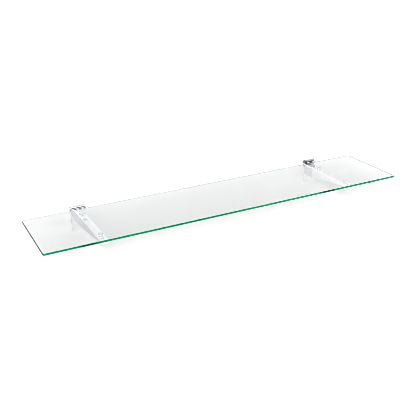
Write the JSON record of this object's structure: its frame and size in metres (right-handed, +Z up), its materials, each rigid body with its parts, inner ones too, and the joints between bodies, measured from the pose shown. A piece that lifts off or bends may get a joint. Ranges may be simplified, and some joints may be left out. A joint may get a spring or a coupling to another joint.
{
  "type": "wall shelf with brackets",
  "caption": "Long clear glass wall shelf with green edges, lying on clear pads on slim tapered chrome arms whose back plates hook into a slatted wall panel.",
  "frame": {"origin": "on the wall face, midway along the shelf, level with the top of the glass", "axes": "X along the shelf, +Y into the wall, +Z up"},
  "size_m": [1.2, 0.2625, 0.082],
  "materials": {
    "clear_glass": "clear toughened float glass with a green edge, ground and polished",
    "chromed_steel": "bright chrome plate on folded steel sheet",
    "chromed_weld": "chrome plate over a rippled weld bead",
    "clear_vinyl": "clear soft vinyl, slightly cloudy"
  },
  "bodies": {
    "root": {"glass_shelf": "clear_glass", "left_back_plate": "chromed_steel", "left_arm": "chromed_steel", "left_web_weld": "chromed_weld", "left_flange_weld": "chromed_weld", "left_rear_pad": "clear_vinyl", "left_front_pad": "clear_vinyl", "right_back_plate": "chromed_steel", "right_arm": "chromed_steel", "right_web_weld": "chromed_weld", "right_flange_weld": "chromed_weld", "right_rear_pad": "clear_vinyl", "right_front_pad": "clear_vinyl"}
  },
  "joints": []
}
